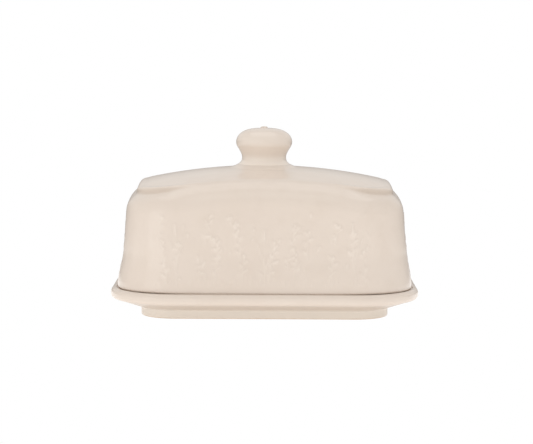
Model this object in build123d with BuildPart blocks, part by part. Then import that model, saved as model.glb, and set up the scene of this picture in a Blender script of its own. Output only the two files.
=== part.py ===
from build123d import *

import os

# Stoneware butter dish with a tall domed cover: dish, lid and knob.
# Millimetres. X runs along the dish, Y across it, Z up. The origin is the centre of the
# footprint on the table. The lid and its knob lift straight up off the dish.

# Overall sizes
dish_length = 180.0          # over the rolled rim
dish_width = 130.0
rim_corner = 38.0            # plan radius of the rim at each corner
dome_top = 85.4              # crown of the lid above the table
knob_height = 23.0           # luting face to the top of the knob head

# Dish
rim_roll = 2.7               # rounding of the rolled rim, top and bottom
rim_under = 10.0             # underside of the rim above the table
rim_top = 16.4
seat_height = 15.8           # ledge the lid stands on
foot_inset = 17.8            # rim edge in to the foot wall
foot_wall = 4.8              # height of the upright foot wall
foot_ring_width = 6.0
foot_recess = 2.0            # hollow under the base, inside the foot ring
foot_round = 0.9
under_inset = 2.1            # rim edge in to the top of the sloping underside
under_rise = 0.25            # top of that slope above the underside of the rim
well_floor = 6.6             # top of the dish floor
floor_margin = 1.4           # foot wall in to the edge of the well floor
well_round = 4.0

# Lid
lid_inset = 4.0              # rim edge in to the lid's lower edge
lid_wall = 4.4
lid_crown = 4.6              # thickness of the lid under the dome
seat_gap = 0.8               # rim recess out to the lid's edge
bead_gap = 0.8               # lid wall in to the locating bead
bead_width = 3.2
bead_rise = 2.4              # bead above the ledge
bead_round = 1.1
flare_height = 22.0          # turned-out foot of the lid wall
flare_out = 1.6              # how far it turns out beyond the leaning wall
wall_lean = 0.078            # wall runs in by this much for each mm of height
lip_round = 1.2              # lower outside edge of the lid
shoulder_round = 17.0        # wall into dome
dome_long_radius = 327.0     # dome curve seen from the front
dome_cross_radius = 205.0    # dome curve seen from the end
cap_inset = 5.0              # shoulder edge in to the raised cap
cap_corner = 20.0
cap_round = 2.2

# Knob
knob_radius = 16.7
knob_neck = 13.0
knob_foot = 16.4
neck_rise = 4.5              # neck above the luting face
head_rise = 13.8             # widest ring of the head above the luting face
brow_radius = 13.4           # where the head turns over into its nearly flat top
brow_rise = 19.6
nub_radius = 2.2
nub_rise = 0.9
pad_rise = 0.5               # seat for the knob above the crown
knob_clay_gap = 1.0          # how far the pad reaches down into the dome

# Worked-out sizes
lid_length = dish_length - 2 * lid_inset
lid_width = dish_width - 2 * lid_inset
lid_corner = rim_corner - lid_inset
lid_headroom = 8.0           # clay above the crown before the dome is cut
knob_seat = dome_top + pad_rise


def inset_corner(inset):
    """Plan radius of a corner that lies this far inside the rim edge."""
    return rim_corner - inset


def dome_cutter(crown, long_radius, cross_radius, length, width, depth):
    """Barrel-curved block whose upper face is the dome; everything under it is kept."""
    axis_height = crown - long_radius
    edge_drop = cross_radius - (cross_radius**2 - (width / 2) ** 2) ** 0.5
    sweep_angle = 2 * 57.3 * (length / 2) / long_radius
    turning_axis = Axis((0, 0, axis_height), (0, 1, 0))
    with BuildPart() as block:
        with BuildSketch(Plane.YZ):
            with BuildLine():
                ThreePointArc(
                    (-width / 2, crown - edge_drop),
                    (0, crown),
                    (width / 2, crown - edge_drop),
                )
                Polyline(
                    (width / 2, crown - edge_drop),
                    (width / 2, crown - depth),
                    (-width / 2, crown - depth),
                    (-width / 2, crown - edge_drop),
                )
            make_face()
        revolve(axis=turning_axis, revolution_arc=sweep_angle)
    return block.part.rotate(turning_axis, -sweep_angle / 2)


def cover_shape(length, width, corner, bottom, crown, shoulder, lip):
    """Solid cover: flared, leaning walls under a barrel dome with a rounded shoulder."""
    top = crown + lid_headroom
    ring_depth = corner / 2
    flare_inset = flare_out + wall_lean * flare_height
    top_inset = flare_inset + wall_lean * (top - bottom - flare_height)
    dome = dome_cutter(
        crown, dome_long_radius, dome_cross_radius, 2 * length, 1.2 * width, crown
    )
    with BuildPart() as cover:
        with BuildLine() as wall_path:
            Line((0, -width / 2), (length / 2 - corner, -width / 2))
            CenterArc((length / 2 - corner, corner - width / 2), corner, -90, 90)
            Line((length / 2, corner - width / 2), (length / 2, width / 2 - corner))
            CenterArc((length / 2 - corner, width / 2 - corner), corner, 0, 90)
            Line((length / 2 - corner, width / 2), (corner - length / 2, width / 2))
            CenterArc((corner - length / 2, width / 2 - corner), corner, 90, 90)
            Line((-length / 2, width / 2 - corner), (-length / 2, corner - width / 2))
            CenterArc((corner - length / 2, corner - width / 2), corner, 180, 90)
            Line((corner - length / 2, -width / 2), (0, -width / 2))
        with BuildSketch(Plane.YZ):
            with BuildLine():
                if lip:
                    RadiusArc(
                        (lip - width / 2, bottom), (-width / 2, bottom + lip), lip
                    )
                Spline(
                    (-width / 2, bottom + lip),
                    (flare_inset - width / 2, bottom + flare_height),
                    tangents=[(0, 1), (wall_lean, 1)],
                )
                Polyline(
                    (flare_inset - width / 2, bottom + flare_height),
                    (top_inset - width / 2, top),
                    (ring_depth - width / 2, top),
                    (ring_depth - width / 2, bottom),
                    (lip - width / 2, bottom),
                )
            make_face()
        sweep(path=wall_path.wire())
        with BuildSketch(Plane.XY.offset(bottom)):
            RectangleRounded(
                length - 2 * ring_depth + 1, width - 2 * ring_depth + 1, corner - ring_depth + 0.5
            )
        extrude(amount=top - bottom)
        add(dome, mode=Mode.INTERSECT)
        top_edges = cover.faces().sort_by(Axis.Z)[-1].outer_wire().edges()
        fillet(top_edges, radius=shoulder)
    return cover.part


# ---------------------------------------------------------------- dish
foot_length = dish_length - 2 * foot_inset
foot_width = dish_width - 2 * foot_inset
bead_inset = lid_inset + lid_wall + bead_gap
well_inset = bead_inset + bead_width
floor_inset = foot_inset + floor_margin

with BuildPart() as dish:
    # Rolled rim
    with BuildSketch(Plane.XY.offset(rim_under)):
        RectangleRounded(dish_length, dish_width, rim_corner)
    extrude(amount=rim_top - rim_under)
    fillet(dish.faces().sort_by(Axis.Z)[-1].edges(), radius=rim_roll)
    fillet(dish.faces().sort_by(Axis.Z)[0].edges(), radius=rim_roll)

    # Sloping underside from the rim in to the foot
    with BuildSketch(Plane.XY.offset(foot_wall)):
        RectangleRounded(foot_length, foot_width, inset_corner(foot_inset))
    with BuildSketch(Plane.XY.offset(rim_under + under_rise)):
        RectangleRounded(
            dish_length - 2 * under_inset,
            dish_width - 2 * under_inset,
            inset_corner(under_inset),
        )
    loft(ruled=True)

    # Foot
    with BuildSketch(Plane.XY):
        RectangleRounded(foot_length, foot_width, inset_corner(foot_inset))
    extrude(amount=foot_wall + 1)

    # Ledge for the lid, let into the rim
    with BuildSketch(Plane.XY.offset(rim_top)):
        RectangleRounded(
            lid_length + 2 * seat_gap, lid_width + 2 * seat_gap, lid_corner + seat_gap
        )
    extrude(amount=seat_height - rim_top, mode=Mode.SUBTRACT)

    # Locating bead inside the lid wall
    with BuildSketch(Plane.XY.offset(seat_height)):
        RectangleRounded(
            dish_length - 2 * bead_inset, dish_width - 2 * bead_inset, inset_corner(bead_inset)
        )
    extrude(amount=bead_rise)

    # Well, sloping in to a floor that lies inside the foot
    with BuildSketch(Plane.XY.offset(well_floor)):
        RectangleRounded(
            dish_length - 2 * floor_inset,
            dish_width - 2 * floor_inset,
            inset_corner(floor_inset),
        )
    with BuildSketch(Plane.XY.offset(seat_height + bead_rise)):
        RectangleRounded(
            dish_length - 2 * well_inset, dish_width - 2 * well_inset, inset_corner(well_inset)
        )
    loft(ruled=True, mode=Mode.SUBTRACT)
    bead_edges = dish.edges().group_by(Axis.Z)[-1]
    fillet(bead_edges, radius=bead_round)
    floor_face = dish.faces().filter_by(Plane.XY).filter_by(
        lambda face: abs(face.center().Z - well_floor) < 0.01
    )[0]
    fillet(floor_face.edges(), radius=well_round)

    # Foot ring
    with BuildSketch(Plane.XY):
        RectangleRounded(
            foot_length - 2 * foot_ring_width,
            foot_width - 2 * foot_ring_width,
            inset_corner(foot_inset + foot_ring_width),
        )
    extrude(amount=foot_recess, mode=Mode.SUBTRACT)
    ring_face = dish.faces().sort_by(Axis.Z)[0]
    fillet(ring_face.outer_wire().edges(), radius=foot_round)

dish.part.label = "dish"

# ---------------------------------------------------------------- lid
outer_cover = cover_shape(
    lid_length, lid_width, lid_corner, seat_height, dome_top, shoulder_round, lip_round
)
inner_cover = cover_shape(
    lid_length - 2 * lid_wall,
    lid_width - 2 * lid_wall,
    lid_corner - lid_wall,
    seat_height,
    dome_top - lid_crown,
    shoulder_round - lid_wall,
    lip=0,
)

shoulder_inset = flare_out + wall_lean * (dome_top - seat_height) + cap_inset
cap_length = lid_length - 2 * shoulder_inset
cap_width = lid_width - 2 * shoulder_inset
cap_base = dome_top - 2 * shoulder_round

cap_dome = dome_cutter(
    dome_top, dome_long_radius, dome_cross_radius, 2 * lid_length, lid_width, dome_top
)

with BuildPart() as cap:
    with BuildSketch(Plane.XY.offset(cap_base)):
        RectangleRounded(cap_length, cap_width, cap_corner)
    extrude(amount=2 * shoulder_round + lid_headroom)
    add(cap_dome, mode=Mode.INTERSECT)
    fillet(cap.faces().sort_by(Axis.Z)[-1].outer_wire().edges(), radius=cap_round)

with BuildPart() as lid:
    add(outer_cover)
    add(cap.part)

    # Seat for the knob
    with BuildSketch(Plane.XY.offset(dome_top - knob_clay_gap)):
        Circle(knob_foot)
    extrude(amount=knob_clay_gap + pad_rise)

    # Hollow under the cover, open at the bottom
    add(inner_cover, mode=Mode.SUBTRACT)

lid.part.label = "lid"

# ---------------------------------------------------------------- knob
head_top = knob_height - nub_rise

with BuildPart() as knob:
    with BuildSketch(Plane.XZ):
        with BuildLine():
            Line((0, knob_seat), (knob_foot, knob_seat))
            Spline(
                (knob_foot, knob_seat),
                (knob_neck, knob_seat + neck_rise),
                (knob_radius, knob_seat + head_rise),
                tangents=[(-1, 0.5), (0, 1), (0, 1)],
            )
            Spline(
                (knob_radius, knob_seat + head_rise),
                (brow_radius, knob_seat + brow_rise),
                (0, knob_seat + head_top),
                tangents=[(0, 1), (-1, 0)],
            )
            Line((0, knob_seat + head_top), (0, knob_seat))
        make_face()
    revolve(axis=Axis.Z)
    with Locations((0, 0, knob_seat + head_top - 1)):
        Cylinder(
            nub_radius, 1 + nub_rise, align=(Align.CENTER, Align.CENTER, Align.MIN)
        )
    fillet(knob.edges().sort_by(Axis.Z)[-1], radius=nub_rise * 0.8)

knob.part.label = "knob"

os.makedirs("parts", exist_ok=True)
export_step(dish.part, "parts/dish.step")
export_step(lid.part, "parts/lid.step")
export_step(knob.part, "parts/knob.step")
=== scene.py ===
import math

import bpy
import numpy as np
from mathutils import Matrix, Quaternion, Vector


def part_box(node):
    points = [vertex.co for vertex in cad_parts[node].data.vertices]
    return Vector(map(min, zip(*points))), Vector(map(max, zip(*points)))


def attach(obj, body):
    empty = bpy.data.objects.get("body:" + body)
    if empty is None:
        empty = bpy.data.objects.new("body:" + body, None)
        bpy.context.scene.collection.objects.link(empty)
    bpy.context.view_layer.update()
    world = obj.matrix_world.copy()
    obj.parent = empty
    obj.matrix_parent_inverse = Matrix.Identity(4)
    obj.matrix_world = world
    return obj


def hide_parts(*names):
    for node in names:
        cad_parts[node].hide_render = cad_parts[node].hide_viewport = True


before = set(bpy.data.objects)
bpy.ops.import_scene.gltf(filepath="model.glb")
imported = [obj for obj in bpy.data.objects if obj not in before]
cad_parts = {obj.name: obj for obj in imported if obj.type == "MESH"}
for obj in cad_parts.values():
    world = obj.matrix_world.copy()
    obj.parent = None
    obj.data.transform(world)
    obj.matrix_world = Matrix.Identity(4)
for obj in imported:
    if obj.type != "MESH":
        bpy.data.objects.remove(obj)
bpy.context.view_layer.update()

MM = 0.001

# Boxes of the CAD nodes; every piece is placed from these.
lid_low, lid_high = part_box("lid")
knob_low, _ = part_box("knob")
dish_low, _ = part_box("dish")

SEAT = lid_low.z
HALF_X = lid_high.x
HALF_Y = lid_high.y
PAD_RISE = 0.5 * MM
CROWN = lid_high.z - PAD_RISE

# The lid's form, in metres, as the CAD solid has it.
LID_CORNER = 34 * MM
LID_WALL = 4.4 * MM
LID_CROWN_WALL = 4.6 * MM
LIP_ROUND = 1.2 * MM
FLARE_HEIGHT = 22 * MM
FLARE_OUT = 1.6 * MM
WALL_LEAN = 0.078
SHOULDER_ROUND = 17 * MM
DOME_LONG_RADIUS = 327 * MM
DOME_CROSS_RADIUS = 205 * MM

# Pad under the knob, with the luted joint sponged into a fillet
PAD_RADIUS = 15.4 * MM
PAD_SKIRT = 21.5 * MM
PAD_FILLET = 0.7 * MM
PAD_SWEEP = 2.2

# Circles that the dome's rows follow as they close in on the pad, and how the rows crowd
PAD_RINGS = [
    r * MM for r in (24, 22.2, 21.2, 20.2, 19.4, 18.6, 17.9, 17.3, 16.7, 16.1, 15.5, 14.8, 7)
]
RING_CROWDING = 1.7

# The knob was luted on by hand, a little off the middle.
KNOB_SHIFT = -0.8 * MM

# Warp of the lip: how far it lifts, and where along the cover.
LIP_LIFT = 0.6 * MM
LIFT_AT = 64 * MM
LIFT_WIDTH = 20 * MM
LIFT_FADE = 9 * MM

# Crease under the dome's edge, by distance round the shoulder. It is plain in the middle of the
# long sides and full at the ends.
CREASE_AT = 12.2 * MM
CREASE_CLIMB = 5.0 * MM
CREASE_STARTS = 34 * MM
CREASE_FULL = 66 * MM
CREASE_APPROACH = 10 * MM
CREASE_RISE = 2.2 * MM
CREASE_DEEP = 1.5
CREASE_BROW = 0.7
BROW_AT, BROW_WIDTH = 3.4 * MM, 2.2 * MM
# Painted shade along the crease: how far past it, and how wide
CREASE_SHADE_AT, CREASE_SHADE_WIDTH = 0.6 * MM, 1.8 * MM

# Where painted shade (higher) and painted light (lower) lie in bands over the middle of the
# shoulder
SHADE_BAND_AT, LIGHT_BAND_AT, BAND_WIDTH = 16.5 * MM, 7.5 * MM, 4 * MM
SHADE_BAND_SHARE, LIGHT_BAND_SHARE = 0.3, 0.25

# Band of the wall that carries the relief, by height in millimetres, and its panels on the long
# and the short sides; each pair runs from nothing to full.
RELIEF_SCALE = 1.25
RELIEF_FOOT = (19.5, 21.5)
RELIEF_TOP = (68, 60)
RELIEF_REACH = 12 * MM
PANEL_LONG = (68 * MM, 57 * MM)
PANEL_SHORT = (38 * MM, 28 * MM)

# Painted light round the knob's foot; all of the cover above this height, in millimetres, is dome.
KNOB_LIGHT_EDGE, KNOB_LIGHT_FULL, KNOB_LIGHT_SHARE = 24 * MM, 17 * MM, 0.44
DOME_ABOVE = 70

LOOP_COUNT = 720


# ------------------------------------------------------------------ small maths
def smooth(low, high, value):
    """0 below low, 1 above high, eased between."""
    t = np.clip((value - low) / (high - low), 0, 1)
    return t * t * (3 - 2 * t)


def bell(distance, width):
    return np.exp(-((distance / width) ** 2))


def rounded_loop(half_x, half_y, corner, count):
    """Points and outward normals round a rounded rectangle, from the middle of the front,
    anticlockwise seen from above, with the distance travelled."""
    flat_x, flat_y = half_x - corner, half_y - corner
    arc = math.pi / 2 * corner
    runs = [
        (flat_x, (0, -half_y), (1, 0), None),
        (arc, (flat_x, -flat_y), None, -90),
        (2 * flat_y, (half_x, -flat_y), (0, 1), None),
        (arc, (flat_x, flat_y), None, 0),
        (2 * flat_x, (flat_x, half_y), (-1, 0), None),
        (arc, (-flat_x, flat_y), None, 90),
        (2 * flat_y, (-half_x, flat_y), (0, -1), None),
        (arc, (-flat_x, -flat_y), None, 180),
        (flat_x, (-flat_x, -half_y), (1, 0), None),
    ]
    total = sum(run[0] for run in runs)
    travel = np.arange(count) / count * total
    point = np.zeros((count, 2))
    normal = np.zeros((count, 2))
    begun = 0.0
    for length, start, heading, angle in runs:
        here = (travel >= begun) & (travel < begun + length)
        along = travel[here] - begun
        if heading:
            point[here] = np.array(start) + along[:, None] * np.array(heading)
            normal[here] = (heading[1], -heading[0])
        else:
            turn = math.radians(angle) + along / corner
            normal[here] = np.stack([np.cos(turn), np.sin(turn)], 1)
            point[here] = np.array(start) + corner * normal[here]
        begun += length
    return point, normal, travel, total


def dome_height(x, y, crown):
    """Barrel-curved dome over the point (x, y)."""
    drop = DOME_CROSS_RADIUS - np.sqrt(DOME_CROSS_RADIUS**2 - y**2)
    axis = crown - DOME_LONG_RADIUS
    return axis + np.sqrt((DOME_LONG_RADIUS - drop) ** 2 - x**2)


def wall_inset(height, bottom):
    """How far the wall has run in at this height: turned-out foot, then a steady lean."""
    end = FLARE_OUT + WALL_LEAN * FLARE_HEIGHT
    run = FLARE_HEIGHT - (bottom - SEAT)
    t = np.clip((height - bottom) / run, 0, 1)
    bend = end * t * t * (3 - 2 * t) + WALL_LEAN * run * (t**3 - t**2)
    return bend + WALL_LEAN * np.maximum(height - SEAT - FLARE_HEIGHT, 0)


def cover_rows(half_x, half_y, corner, crown, shoulder, foot, wall_rows, arc_rows):
    """Rows of one skin of the cover, from its foot up the wall and round the shoulder.

    Returns the rows, the loop's travel and normals, and each row's arc distance from the
    start of the shoulder (negative on the wall)."""
    base, normal, travel, total = rounded_loop(half_x, half_y, corner, LOOP_COUNT)

    def barrel(inset):
        where = base - normal * inset[:, None]
        return dome_height(where[:, 0], where[:, 1], crown)

    # Centre of the ball that rolls inside the wall and under the dome.
    lean_length = math.sqrt(1 + WALL_LEAN**2)
    step = 0.01 * MM
    low = np.full(LOOP_COUNT, 2 * MM)
    high = np.full(LOOP_COUNT, 33 * MM)
    for _ in range(40):
        inset = (low + high) / 2
        slope = (barrel(inset + step) - barrel(inset - step)) / (2 * step)
        size = np.sqrt(1 + slope**2)
        centre_in = inset + shoulder * slope / size
        centre_up = barrel(inset) - shoulder / size
        wall_in = (
            FLARE_OUT
            + WALL_LEAN * (centre_up - SEAT)
            + shoulder * lean_length
        )
        inside = centre_in > wall_in
        high = np.where(inside, inset, high)
        low = np.where(inside, low, inset)
    first = math.atan(WALL_LEAN)
    last = np.arctan2(np.ones(LOOP_COUNT), slope)

    shoulder_foot = centre_up + shoulder * math.sin(first)
    rows, arcs = [], []
    for k in range(wall_rows + 1):
        height = foot + (shoulder_foot - foot) * k / wall_rows
        inset = wall_inset(height, foot)
        rows.append(np.column_stack([base - normal * inset[:, None], height]))
        arcs.append(height - shoulder_foot)
    for k in range(1, arc_rows + 1):
        turn = first + (last - first) * k / arc_rows
        inset = centre_in - shoulder * np.cos(turn)
        height = centre_up + shoulder * np.sin(turn)
        rows.append(np.column_stack([base - normal * inset[:, None], height]))
        arcs.append(shoulder * (turn - first))
    return rows, arcs, travel, total, normal


def top_rows(edge, crown, radii, spans):
    """Rows from the end of the shoulder in to a circle, then in round it to the middle."""
    angle = np.arctan2(edge[:, 1], edge[:, 0])
    ring = np.stack([np.cos(angle), np.sin(angle)], 1)
    rows = []
    for k in range(1, spans + 1):
        plan = edge[:, :2] + (ring * radii[0] - edge[:, :2]) * (k / spans) ** RING_CROWDING
        rows.append(np.column_stack([plan, dome_height(plan[:, 0], plan[:, 1], crown)]))
    for radius in radii[1:]:
        plan = ring * radius
        rows.append(np.column_stack([plan, dome_height(plan[:, 0], plan[:, 1], crown)]))
    return rows


# ------------------------------------------------------------------ low relief
class Relief:
    """Height of the moulded relief, in millimetres, over the unrolled wall.

    s runs round the wall from the middle of the front and z up from the table."""

    def __init__(self, s, z, around):
        self.s, self.z, self.around = s, z, around
        self.height = np.zeros_like(s)

    def local(self, s0, z0):
        ds = (self.s - s0 + self.around / 2) % self.around - self.around / 2
        return ds, self.z - z0

    def raise_to(self, height):
        self.height = np.maximum(self.height, height)

    def stroke(self, points, widths, height):
        """Rounded line through points, widths at its ends."""
        s0, z0 = points[0]
        ds, dz = self.local(s0, z0)
        pieces = len(points) - 1
        for i in range(pieces):
            a = (points[i][0] - s0, points[i][1] - z0)
            b = (points[i + 1][0] - s0, points[i + 1][1] - z0)
            run = (b[0] - a[0]) ** 2 + (b[1] - a[1]) ** 2 + 1e-9
            t = np.clip(((ds - a[0]) * (b[0] - a[0]) + (dz - a[1]) * (b[1] - a[1])) / run, 0, 1)
            away = np.hypot(ds - a[0] - t * (b[0] - a[0]), dz - a[1] - t * (b[1] - a[1]))
            width = widths[0] + (widths[1] - widths[0]) * (i + t) / pieces
            self.raise_to(height * smooth(1, 0.15, away / width))

    def leaf(self, s0, z0, length, width, angle, height):
        """Pointed leaf with a sunk midrib, growing from (s0, z0) at angle degrees."""
        ds, dz = self.local(s0, z0)
        c, n = math.cos(math.radians(angle)), math.sin(math.radians(angle))
        along, across = (ds * c + dz * n) / length, -ds * n + dz * c
        inside = (along > 0) & (along < 1)
        half = width * np.sqrt(np.sin(np.pi * np.clip(along, 0, 1))) + 1e-6
        body = smooth(1, 0.25, np.abs(across) / half) * (1 - 0.45 * bell(across, 0.45))
        self.raise_to(np.where(inside, height * body, 0))

    def blossom(self, s0, z0, radius, petals, turn, height):
        """Open flower: rounded petals about a raised eye."""
        ds, dz = self.local(s0, z0)
        away, angle = np.hypot(ds, dz), np.arctan2(dz, ds)
        edge = radius * (0.74 + 0.26 * np.cos(petals * (angle - turn)))
        petal = smooth(1, 0.45, away / edge) * (0.7 + 0.3 * smooth(0, 0.6, away / radius))
        self.raise_to(height * petal)
        self.raise_to(1.15 * height * smooth(1, 0.3, away / (0.3 * radius)))


def stem_line(s0, z0, length, bend, count=6):
    """Points up a stem that leans over by bend at its top."""
    return [
        (s0 + bend * (k / count) ** 2, z0 + length * k / count) for k in range(count + 1)
    ]


def sprig(relief, rng, s0, z0, tall):
    """Stem with alternate leaves and a flower, a bud or an ear of seed at its top."""
    bend = rng.uniform(-0.22, 0.22) * tall
    line = stem_line(s0, z0, tall, bend)
    lean = -math.degrees(math.atan2(2 * bend, tall))
    relief.stroke(line, (0.8, 0.55), 0.2)
    for i, (s, z) in enumerate(line[1:-1]):
        if rng.uniform() < 0.25:
            continue
        side = 1 if i % 2 else -1
        lift = 90 + lean - side * rng.uniform(30, 55)
        relief.leaf(
            s, z, rng.uniform(3.2, 5.2), rng.uniform(1.0, 1.4), lift, rng.uniform(0.24, 0.4)
        )
    top = line[-1]
    kind = rng.randint(4)
    if kind <= 1:
        relief.blossom(
            *top, rng.uniform(1.5, 2.2), 5, rng.uniform(0, 1.2), rng.uniform(0.26, 0.36)
        )
    elif kind == 2:
        for lift in (-35, 0, 35):
            relief.leaf(*top, rng.uniform(3.0, 4.2), 1.1, 90 + lean + lift, 0.36)
    else:
        for k in range(4):
            side = 28 if k % 2 else -28
            relief.leaf(top[0], top[1] + 1.7 * k, 2.6, 1.0, 90 + lean + side, 0.38)


def meadow(relief):
    """Meadow plants in low relief, all round the wall, thinning out upwards."""
    rng = np.random.RandomState(11)
    around = relief.around
    ground = 21.5

    # Slender reeds with two long blades and an ear
    reeds = 11
    for k in range(reeds):
        s0 = around * (k + 0.09) / reeds + rng.uniform(-7, 7)
        tall = rng.uniform(31, 40)
        bend = rng.uniform(-1.5, 1.5)
        line = stem_line(s0, ground, tall, bend)
        relief.stroke(line, (0.75, 0.5), 0.2)
        for side in (-1, 1):
            start = line[rng.randint(1, 3)]
            blade = [
                (start[0] + side * 5 * t**1.6, start[1] + 15 * t)
                for t in (0, 0.25, 0.5, 0.75, 1)
            ]
            relief.stroke(blade, (0.9, 0.4), 0.22)
        relief.stroke([line[-2], line[-1]], (1.0, 0.7), 0.32)

    # Sprigs standing in three ranks, the far ones higher and fewer
    for count, low, high, tallest in ((34, 0, 3, 19), (30, 8, 15, 17), (20, 19, 27, 14)):
        for k in range(count):
            s0 = around * (k + 0.5) / count + rng.uniform(-6, 6)
            sprig(relief, rng, s0, ground + rng.uniform(low, high), rng.uniform(9, tallest))

    # Loose buds and fallen leaves between them
    for _ in range(150):
        s0, z0 = rng.uniform(0, around), ground + 1 + 39 * rng.uniform() ** 1.3
        relief.leaf(
            s0, z0, rng.uniform(2.4, 4.4), rng.uniform(0.8, 1.2), rng.uniform(50, 130), 0.34
        )

    # Grass along the foot
    blades = 110
    for k in range(blades):
        s0 = around * k / blades + rng.uniform(-2, 2)
        relief.leaf(s0, ground - 1, rng.uniform(3.5, 8), 0.75, 90 + rng.uniform(-26, 26), 0.26)


# ------------------------------------------------------------------ meshes
def grid_normals(grid):
    """Unit normals of a grid of rows that close round on themselves."""
    across = np.roll(grid, -1, 1) - np.roll(grid, 1, 1)
    along = np.gradient(grid, axis=0)
    normal = np.cross(across, along)
    return normal / np.maximum(np.linalg.norm(normal, axis=2, keepdims=True), 1e-12)


def skin(name, grid, close_start=True, close_end=True):
    """Mesh through closed rows of points, with its ends closed to a point."""
    rows, count, _ = grid.shape
    verts = grid.reshape(-1, 3)
    k = np.arange(count)
    after = (k + 1) % count
    faces = []
    for row in range(rows - 1):
        lower, upper = row * count, (row + 1) * count
        faces.append(np.stack([lower + k, lower + after, upper + after, upper + k], 1))
    faces = np.concatenate(faces).tolist()
    extra = []
    if close_start:
        extra.append(grid[0].mean(0))
        tip = len(verts) + len(extra) - 1
        faces += [[int(tip), int(b), int(a)] for a, b in zip(k, after)]
    if close_end:
        extra.append(grid[-1].mean(0))
        tip = len(verts) + len(extra) - 1
        top = (rows - 1) * count
        faces += [[int(tip), int(top + a), int(top + b)] for a, b in zip(k, after)]
    verts = np.concatenate([verts, np.array(extra).reshape(-1, 3)])
    mesh = bpy.data.meshes.new(name)
    mesh.from_pydata(verts.tolist(), [], faces)
    mesh.validate()
    mesh.shade_smooth()
    piece = bpy.data.objects.new(name, mesh)
    bpy.context.scene.collection.objects.link(piece)
    return piece


def set_attribute(piece, name, values):
    """Per-vertex number for a material to read; the closing points take the last value."""
    count = len(piece.data.vertices)
    full = np.full(count, float(values[-1]), np.float32)
    full[: len(values)] = values
    piece.data.attributes.new(name, "FLOAT", "POINT").data.foreach_set("value", full)


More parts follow.
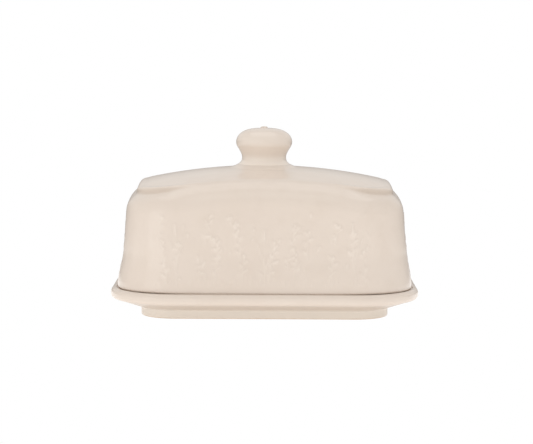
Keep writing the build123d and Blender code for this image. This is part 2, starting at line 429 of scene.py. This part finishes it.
def make_lid():
    """Hollow cover with relief on its walls and a crease round the corners of its dome."""
    foot = SEAT + LIP_ROUND
    rows, arcs, travel, total, normal = cover_rows(
        HALF_X, HALF_Y, LID_CORNER, CROWN, SHOULDER_ROUND, foot, wall_rows=64, arc_rows=28
    )
    base = rows[0][:, :2]
    lip = []
    for turn in np.linspace(-math.pi / 2, 0, 5)[:-1]:
        inset = LIP_ROUND * (1 - math.cos(turn))
        height = np.full(LOOP_COUNT, foot + LIP_ROUND * math.sin(turn))
        lip.append(np.column_stack([base - normal * inset, height]))
    edge = rows[-1]
    crown = top_rows(edge, CROWN, PAD_RINGS, spans=10)
    outside = np.array(lip + rows + crown)

    inner, _, _, _, _ = cover_rows(
        HALF_X - LID_WALL,
        HALF_Y - LID_WALL,
        LID_CORNER - LID_WALL,
        CROWN - LID_CROWN_WALL,
        SHOULDER_ROUND - LID_WALL,
        SEAT,
        wall_rows=8,
        arc_rows=7,
    )
    ceiling = top_rows(inner[-1], CROWN - LID_CROWN_WALL, [18 * MM, 6 * MM], spans=5)
    inside = np.array(inner + ceiling)[::-1]

    # Distance of each outside row from the foot of the shoulder, on over the dome
    arc = np.full(outside.shape[:2], -1.0)
    arc[len(lip) : len(lip) + len(rows)] = np.array(arcs)
    across = np.linalg.norm(np.array(crown) - edge, axis=2)
    arc[len(lip) + len(rows) :] = arcs[-1] + across

    s = np.broadcast_to(travel / MM, outside.shape[:2])
    z = outside[:, :, 2] / MM
    relief = Relief(s, z, total / MM)
    meadow(relief)
    fade = smooth(*RELIEF_FOOT, z) * smooth(*RELIEF_TOP, z) * (arc < RELIEF_REACH)
    panel = np.maximum(
        smooth(*PANEL_LONG, np.abs(base[:, 0])), smooth(*PANEL_SHORT, np.abs(base[:, 1]))
    )
    picture = RELIEF_SCALE * relief.height * fade * panel

    # Crease under the dome, round the ends and corners: the wall draws in to it slowly, and the
    # dome's edge stands over it. Painted shade darkens the glaze in it.
    corner_share = smooth(CREASE_STARTS, CREASE_FULL, np.abs(base[:, 0]))
    middle_share = 1 - corner_share
    past = arc - CREASE_AT - CREASE_CLIMB * np.abs(normal[:, 1])
    into = smooth(-CREASE_APPROACH, 0, past)
    out = smooth(0, CREASE_RISE, past)
    brow = bell(past - BROW_AT, BROW_WIDTH)
    crease = (-CREASE_DEEP * into * (1 - out) + CREASE_BROW * brow) * corner_share
    painted_shade = bell(past - CREASE_SHADE_AT, CREASE_SHADE_WIDTH) * corner_share
    # Painted shade in a band high on the middle of the shoulder
    painted_shade = painted_shade + SHADE_BAND_SHARE * bell(arc - SHADE_BAND_AT, BAND_WIDTH) * middle_share

    # Slow unevenness of a pressed and sponged wall
    turn = 2 * math.pi * travel / total
    wave = 0.12 * np.sin(3 * turn + 0.6) * np.sin(z / 9) + 0.08 * np.sin(7 * turn + z / 6)
    wave = wave * smooth(17.5, 26, z) * smooth(85, 70, z)

    # The fired cover is a little warped: its lip lifts off the ledge towards the corners
    lift = LIP_LIFT * bell(np.abs(base[:, 0]) - LIFT_AT, LIFT_WIDTH)
    inside[:, :, 2] += lift * smooth(SEAT + LIFT_FADE, SEAT, inside[:, :, 2])
    outside[:, :, 2] += lift * smooth(SEAT + LIFT_FADE, SEAT, outside[:, :, 2])

    outward = grid_normals(outside)
    outside = outside + outward * ((picture + crease + wave) * MM)[:, :, None]

    # Pad under the knob, its slip joint sponged into a fillet
    away = np.hypot(outside[:, :, 0] - KNOB_SHIFT, outside[:, :, 1])
    climb = np.clip((PAD_SKIRT - away) / (PAD_SKIRT - PAD_RADIUS), 0, 1)
    pad = climb**PAD_SWEEP * (z > DOME_ABOVE)
    outside[:, :, 2] += pad * (CROWN + PAD_RISE + PAD_FILLET - outside[:, :, 2])

    # The glaze runs thin over the relief and is paler there, partly as painted highlight; painted
    # light round the knob's foot and low on the shoulder's middle
    # Painted light on the lid round the knob's foot, where shade falls in the joint
    knob_foot_light = KNOB_LIGHT_SHARE * smooth(KNOB_LIGHT_EDGE, KNOB_LIGHT_FULL, away) * (z > DOME_ABOVE)
    thin_glaze_and_painted_light = np.maximum(picture, knob_foot_light)
    # Painted light in a band low on the middle of the shoulder
    thin_glaze_and_painted_light = np.maximum(thin_glaze_and_painted_light, LIGHT_BAND_SHARE * bell(arc - LIGHT_BAND_AT, BAND_WIDTH) * middle_share)

    grid = np.concatenate([inside, outside])
    piece = skin("lid_cover", grid)
    plain = np.zeros(inside.shape[:2])
    set_attribute(piece, "thin_glaze_and_painted_light", np.concatenate([plain, thin_glaze_and_painted_light]).reshape(-1))
    set_attribute(piece, "painted_shade", np.concatenate([plain, painted_shade]).reshape(-1))
    return piece


def make_knob():
    """Baluster knob turned about the lid's axis, with the slip joint at its foot."""
    seat = knob_low.z
    profile = [
        (16.6, -0.6), (16.2, -0.2), (15.6, 0.4), (14.8, 1.1), (14.0, 1.9), (13.4, 2.8),
        (13.15, 3.9), (13.1, 5.0), (13.35, 6.2), (13.85, 7.4), (14.5, 8.7), (15.2, 9.9),
        (15.9, 11.0), (16.4, 12.1), (16.65, 13.3), (16.65, 14.5), (16.35, 15.8),
        (15.8, 17.0), (15.0, 18.1), (13.9, 19.1), (12.4, 20.1), (10.6, 20.9), (8.4, 21.5),
        (6.0, 21.85), (3.6, 22.0), (2.4, 22.1), (2.1, 22.5), (1.6, 22.85), (0.9, 23.0),
    ]
    ring = np.array(profile)
    fine = 4
    t = np.arange(len(ring))
    dense = np.linspace(0, len(ring) - 1, fine * (len(ring) - 1) + 1)
    ring = np.stack([catmull(t, ring[:, 0], dense), catmull(t, ring[:, 1], dense)], 1)
    count = 96
    angle = np.arange(count) / count * 2 * math.pi
    wobble = 1 + 0.004 * np.sin(angle + 0.8) + 0.003 * np.sin(2 * angle)
    grid = np.zeros((len(ring), count, 3))
    grid[:, :, 0] = ring[:, :1] * MM * np.cos(angle) * wobble + KNOB_SHIFT
    grid[:, :, 1] = ring[:, :1] * MM * np.sin(angle) * wobble
    grid[:, :, 2] = seat + ring[:, 1:] * MM
    return skin("knob_turned", grid)


def catmull(knots, values, at):
    """Smooth curve through values."""
    i = np.clip(at.astype(int), 0, len(knots) - 2)
    f = at - i
    before = values[np.maximum(i - 1, 0)]
    a, b = values[i], values[i + 1]
    after = values[np.minimum(i + 2, len(values) - 1)]
    return 0.5 * (
        2 * a
        + (b - before) * f
        + (2 * before - 5 * a + 4 * b - after) * f**2
        + (3 * a - before - 3 * b + after) * f**3
    )


# ------------------------------------------------------------------ materials
class Nodes:
    """Short way to build a node material."""

    def __init__(self, name):
        self.material = bpy.data.materials.new(name)
        self.material.use_nodes = True
        self.tree = self.material.node_tree
        self.shader = self.tree.nodes["Principled BSDF"]
        coordinates = self.tree.nodes.new("ShaderNodeTexCoord")
        self.place = coordinates.outputs["Object"]
        self.normal = coordinates.outputs["Normal"]

    def link(self, source, target):
        self.tree.links.new(source, target)

    def add(self, kind, **inputs):
        node = self.tree.nodes.new(kind)
        for key, value in inputs.items():
            socket = node.inputs[key.replace("_", " ")]
            if isinstance(value, bpy.types.NodeSocket):
                self.link(value, socket)
            else:
                socket.default_value = value
        return node

    def noise(self, scale, detail=3.0, roughness=0.5):
        node = self.add(
            "ShaderNodeTexNoise", Vector=self.place, Scale=scale, Detail=detail, Roughness=roughness
        )
        return node.outputs["Fac"]

    def attribute(self, name):
        node = self.tree.nodes.new("ShaderNodeAttribute")
        node.attribute_name = name
        return node.outputs["Fac"]

    def spread(self, value, low, high, to_low=0.0, to_high=1.0):
        """Maps low..high of a value onto another range, eased and clamped."""
        node = self.tree.nodes.new("ShaderNodeMapRange")
        node.interpolation_type = "SMOOTHSTEP"
        self.link(value, node.inputs["Value"])
        for key, number in zip(
            ("From Min", "From Max", "To Min", "To Max"), (low, high, to_low, to_high)
        ):
            node.inputs[key].default_value = number
        return node.outputs["Result"]

    def blend(self, share, a, b):
        node = self.tree.nodes.new("ShaderNodeMix")
        node.data_type = "RGBA"
        self.link(share, node.inputs[0])
        for value, socket in ((a, node.inputs[6]), (b, node.inputs[7])):
            if isinstance(value, bpy.types.NodeSocket):
                self.link(value, socket)
            else:
                socket.default_value = (*value, 1)
        return node.outputs[2]

    def maths(self, operation, a, b):
        node = self.tree.nodes.new("ShaderNodeMath")
        node.operation = operation
        for value, socket in ((a, node.inputs[0]), (b, node.inputs[1])):
            if isinstance(value, bpy.types.NodeSocket):
                self.link(value, socket)
            else:
                socket.default_value = value
        return node.outputs[0]


CREAM = (0.735, 0.632, 0.545)
CREAM_PALE = (0.775, 0.682, 0.605)
# Darker cream: random mottle, and painted shade in the crease and high on the shoulder
CREAM_MOTTLE_AND_SHADE = (0.650, 0.545, 0.455)
CLAY = (0.560, 0.420, 0.290)
# Paler cream: thin glaze over the relief, partly painted highlight, and painted light
PALE_GLAZE_AND_LIGHT = (0.880, 0.790, 0.705)
# Painted light on the knob's foot
KNOB_FOOT_LIGHT_TONE = (0.960, 0.865, 0.770)
# Painted shade under the dish's rim
UNDERSIDE_SHADE_TONE = (0.540, 0.450, 0.375)
# Painted light on the dish's foot
FOOT_LIGHT_TONE = (0.840, 0.775, 0.695)


def glaze(name, bare_below, bare_fade, relief=False, painted_bands=()):
    """Cream stoneware glaze, paler where thin, with painted light and painted shade, over clay left
    bare below a height.

    Each band, used for painted light and painted shade, is a tone, its share, the heights where it
    starts, is full, and ends, and whether it keeps to faces that look down."""
    n = Nodes(name)
    height = n.tree.nodes.new("ShaderNodeSeparateXYZ")
    n.link(n.place, height.inputs[0])
    cloud = n.spread(n.noise(16, 2), 0.15, 0.85, 0.2, 0.65)
    colour = n.blend(cloud, CREAM, CREAM_PALE)
    mottle = n.spread(n.noise(110, 3), 0.4, 0.85, 0.0, 0.2)
    colour = n.blend(mottle, colour, CREAM_MOTTLE_AND_SHADE)
    if relief:
        # Paler over the relief as thin glaze, partly painted highlight; painted light round the
        # knob's foot and low on the shoulder
        paler_share = n.spread(n.attribute("thin_glaze_and_painted_light"), 0.12, 0.44, 0.0, 0.45)
        colour = n.blend(paler_share, colour, PALE_GLAZE_AND_LIGHT)
        # Painted shade in the crease and high on the middle of the shoulder
        painted_shade = n.spread(n.attribute("painted_shade"), 0.0, 1.0, 0.0, 0.8)
        colour = n.blend(painted_shade, colour, CREAM_MOTTLE_AND_SHADE)

    for tone, share, start, full, full_end, end, downward in painted_bands:
        rise = n.spread(height.outputs["Z"], start, full, 0.0, share)
        fall = n.spread(height.outputs["Z"], full_end, end, 1.0, 0.0)
        amount = n.maths("MULTIPLY", rise, fall)
        # Painted shade that keeps to faces that look down
        if downward:
            facing = n.tree.nodes.new("ShaderNodeSeparateXYZ")
            n.link(n.normal, facing.inputs[0])
            looks_down = n.spread(facing.outputs["Z"], -0.1, -0.5)
            amount = n.maths("MULTIPLY", amount, looks_down)
        colour = n.blend(amount, colour, tone)

    ragged = n.maths("MULTIPLY", n.maths("SUBTRACT", n.noise(260, 3), 0.5), 0.7 * bare_fade)
    level = n.maths("ADD", height.outputs["Z"], ragged)
    bare = n.spread(level, bare_below + bare_fade, bare_below)
    grain = n.blend(n.noise(900, 6, 0.7), CLAY, tuple(1.22 * c for c in CLAY))
    n.link(n.blend(bare, colour, grain), n.shader.inputs["Base Color"])

    gloss = n.spread(n.noise(60, 4), 0.3, 0.7, 0.31, 0.40)
    rough = n.maths("ADD", gloss, n.maths("MULTIPLY", bare, 0.5))
    n.link(rough, n.shader.inputs["Roughness"])
    # A smooth skin of glass mirrors the studio faintly over the softer glaze below.
    n.shader.inputs["Coat Weight"].default_value = 0.5
    n.shader.inputs["Coat Roughness"].default_value = 0.13
    n.shader.inputs["IOR"].default_value = 1.36

    peel = n.maths("ADD", n.noise(420, 2), n.maths("MULTIPLY", n.noise(1500, 4), bare))
    bump = n.add("ShaderNodeBump", Height=peel, Strength=0.16, Distance=0.25 * MM)
    n.link(bump.outputs["Normal"], n.shader.inputs["Normal"])
    return n.material


def band(tone, share, base, heights, downward=False):
    """Band of a tone over heights in millimetres above a base."""
    return (tone, share, *(base + height * MM for height in heights), downward)


def paint(piece, material):
    """Gives a piece one material, whatever it had."""
    if piece.data.materials:
        for k in range(len(piece.data.materials)):
            piece.data.materials[k] = material
    else:
        piece.data.materials.append(material)


# ------------------------------------------------------------------ the object
lid = make_lid()
paint(lid, glaze("glaze_lid", SEAT - 0.2 * MM, 0.9 * MM, relief=True))
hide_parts("lid")
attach(lid, "cover")

knob = make_knob()
# Painted light over the knob's lower part and its foot, where shade falls under the head
knob_painted_light = (
    band(PALE_GLAZE_AND_LIGHT, 0.5, knob_low.z, (-9, -8, 14, 21)),
    band(KNOB_FOOT_LIGHT_TONE, 0.85, knob_low.z, (-9, -8, 2, 8)),
)
paint(knob, glaze("glaze_knob", SEAT - 5 * MM, 0.5 * MM, painted_bands=knob_painted_light))
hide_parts("knob")
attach(knob, "cover")

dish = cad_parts["dish"]
# Painted shade on the downward faces under the rim, and painted light on the foot
dish_painted_shade_and_light = (
    band(UNDERSIDE_SHADE_TONE, 0.85, dish_low.z, (4.4, 6.5, 8.5, 12), downward=True),
    # Painted light on the foot
    band(FOOT_LIGHT_TONE, 0.8, dish_low.z, (-2, -1, 4.4, 6.4)),
)
paint(dish, glaze("glaze_dish", dish_low.z + 0.2 * MM, 0.5 * MM, painted_bands=dish_painted_shade_and_light))


# ------------------------------------------------------------------ studio
def area_light(name, place, aim, size, power):
    data = bpy.data.lights.new(name, "AREA")
    data.shape = "RECTANGLE"
    data.size, data.size_y = size
    data.energy = power
    lamp = bpy.data.objects.new(name, data)
    lamp.location = place
    lamp.rotation_euler = (Vector(aim) - Vector(place)).to_track_quat("-Z", "Y").to_euler()
    bpy.context.scene.collection.objects.link(lamp)


middle = (dish_low + lid_high) / 2
area_light("soft_left", (-1.04, -1.08, 0.27), middle, (0.9, 0.5), 1.5)
area_light("soft_top", (0.0, 0.2, 1.6), middle, (1.6, 1.2), 5.8)

# Even light from all round, and how much of it the dark cloth takes away
FILL = 0.79
CLOTH_SHARE = 0.6

world = bpy.data.worlds.new("studio")
bpy.context.scene.world = world
world.use_nodes = True
tree = world.node_tree
backdrop = tree.nodes["Background"]
backdrop.inputs["Color"].default_value = (1, 1, 1, 1)
backdrop.inputs["Strength"].default_value = 1.0
fill = tree.nodes.new("ShaderNodeBackground")
fill.inputs["Color"].default_value = (1.0, 0.99, 0.975, 1)
way = tree.nodes.new("ShaderNodeTexCoord")
axes = tree.nodes.new("ShaderNodeSeparateXYZ")
tree.links.new(way.outputs["Generated"], axes.inputs[0])


def world_maths(operation, a, b=0.0):
    node = tree.nodes.new("ShaderNodeMath")
    node.operation = operation
    for value, socket in ((a, node.inputs[0]), (b, node.inputs[1])):
        if isinstance(value, bpy.types.NodeSocket):
            tree.links.new(value, socket)
        else:
            socket.default_value = value
    return node.outputs[0]


def world_ease(value, low, high, to_low=0.0, to_high=1.0):
    node = tree.nodes.new("ShaderNodeMapRange")
    node.interpolation_type = "SMOOTHSTEP"
    tree.links.new(value, node.inputs["Value"])
    for key, number in zip(
        ("From Min", "From Max", "To Min", "To Max"), (low, high, to_low, to_high)
    ):
        node.inputs[key].default_value = number
    return node.outputs["Result"]


# Dark cloth hangs low behind the object.
behind = world_ease(axes.outputs["Y"], 0.0, 0.5)
low = world_ease(axes.outputs["Z"], 0.02, 0.3, 1.0, 0.0)
cloth = world_maths("MULTIPLY", behind, low)
strength = world_maths("MULTIPLY", world_maths("MULTIPLY", cloth, -CLOTH_SHARE), FILL)
tree.links.new(world_maths("ADD", strength, FILL), fill.inputs["Strength"])
path = tree.nodes.new("ShaderNodeLightPath")
choose = tree.nodes.new("ShaderNodeMixShader")
tree.links.new(path.outputs["Is Camera Ray"], choose.inputs[0])
tree.links.new(fill.outputs[0], choose.inputs[1])
tree.links.new(backdrop.outputs[0], choose.inputs[2])
tree.links.new(choose.outputs[0], tree.nodes["World Output"].inputs["Surface"])

# White paper: to the camera a flat white glow with no shadow; to the object a sheet that glows near
# it as painted fill light and is dark further back
FLOOR_GLOW = 0.49
floor_mesh = bpy.data.meshes.new("floor")
reach = 6.0
floor_mesh.from_pydata(
    [(-reach, -reach, 0), (reach, -reach, 0), (reach, reach, 0), (-reach, reach, 0)],
    [],
    [(0, 1, 2, 3)],
)
floor = bpy.data.objects.new("floor", floor_mesh)
floor.location.z = dish_low.z
bpy.context.scene.collection.objects.link(floor)
floor_look = Nodes("floor_paper")
ground = floor_look.tree.nodes.new("ShaderNodeSeparateXYZ")
floor_look.link(floor_look.place, ground.inputs[0])
far = floor_look.spread(ground.outputs["Y"], 0.1, 0.5)
paper = floor_look.blend(far, (0.8, 0.8, 0.795), (0.15, 0.15, 0.15))
floor_look.link(paper, floor_look.shader.inputs["Base Color"])
floor_look.shader.inputs["Roughness"].default_value = 0.9
floor_look.shader.inputs["Emission Color"].default_value = (1, 1, 1, 1)
# Painted fill light: the floor near the object glows though it is no lamp
glow = floor_look.maths("MULTIPLY", floor_look.maths("SUBTRACT", 1.0, far), FLOOR_GLOW)
floor_look.link(glow, floor_look.shader.inputs["Emission Strength"])
seen = floor_look.tree.nodes.new("ShaderNodeLightPath")
glowing_white = floor_look.tree.nodes.new("ShaderNodeEmission")
mixed = floor_look.tree.nodes.new("ShaderNodeMixShader")
floor_look.link(seen.outputs["Is Camera Ray"], mixed.inputs[0])
floor_look.link(floor_look.shader.outputs[0], mixed.inputs[1])
floor_look.link(glowing_white.outputs[0], mixed.inputs[2])
floor_look.link(mixed.outputs[0], floor_look.tree.nodes["Material Output"].inputs["Surface"])
floor.data.materials.append(floor_look.material)

camera_data = bpy.data.cameras.new("camera")
camera = bpy.data.objects.new("camera", camera_data)
bpy.context.scene.collection.objects.link(camera)
bpy.context.scene.camera = camera
aim = Vector((0.0009, 0, 51.6 * MM))
distance = 1.121
elevation = math.radians(5.85)
camera.location = aim + distance * Vector((0, -math.cos(elevation), math.sin(elevation)))
level = (aim - camera.location).to_track_quat("-Z", "Y")
roll = Quaternion((0, 0, 1), math.radians(0.3))
camera.rotation_euler = (level @ roll).to_euler()
camera_data.sensor_width = 36
camera_data.lens = 126.4
bpy.context.scene.view_settings.view_transform = "Standard"
